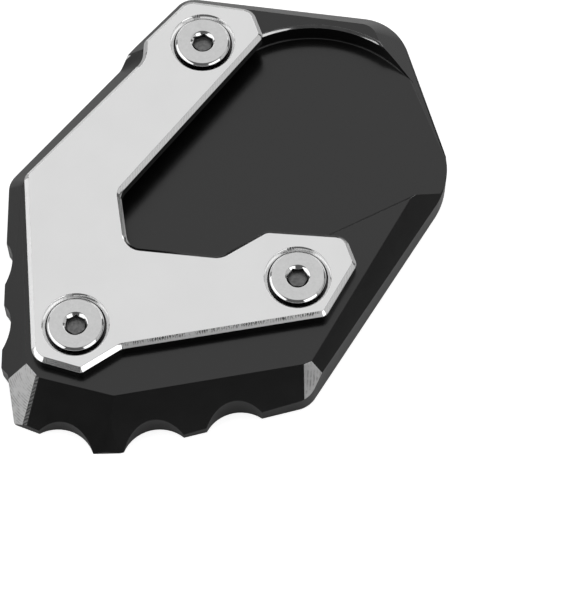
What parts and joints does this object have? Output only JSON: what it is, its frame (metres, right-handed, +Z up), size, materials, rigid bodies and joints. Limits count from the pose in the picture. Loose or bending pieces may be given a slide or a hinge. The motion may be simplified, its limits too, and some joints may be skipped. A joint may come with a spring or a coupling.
{
  "type": "kickstand foot enlarger",
  "caption": "Scalloped black base plate with a pocket for a side stand's foot, and a bright clamp plate held down by low-head socket screws.",
  "frame": {"origin": "on the ground face, under the middle of the part's box", "axes": "+Z up out of the ground face; +Y along the part's length, from the scalloped front tooth to the back edge; +X from the scalloped left wall to the round nose at the pocket's mouth"},
  "size_m": [0.0995, 0.1102, 0.0166],
  "materials": {
    "anodised_black": "black anodised, semi-gloss",
    "satin_silver": "satin top with bright milled edges",
    "screw_steel": "satin"
  },
  "bodies": {
    "root": {"base_plate": "anodised_black", "clamp_plate": "satin_silver", "screw_back": "screw_steel", "screw_left": "screw_steel", "screw_right": "screw_steel"}
  },
  "joints": []
}
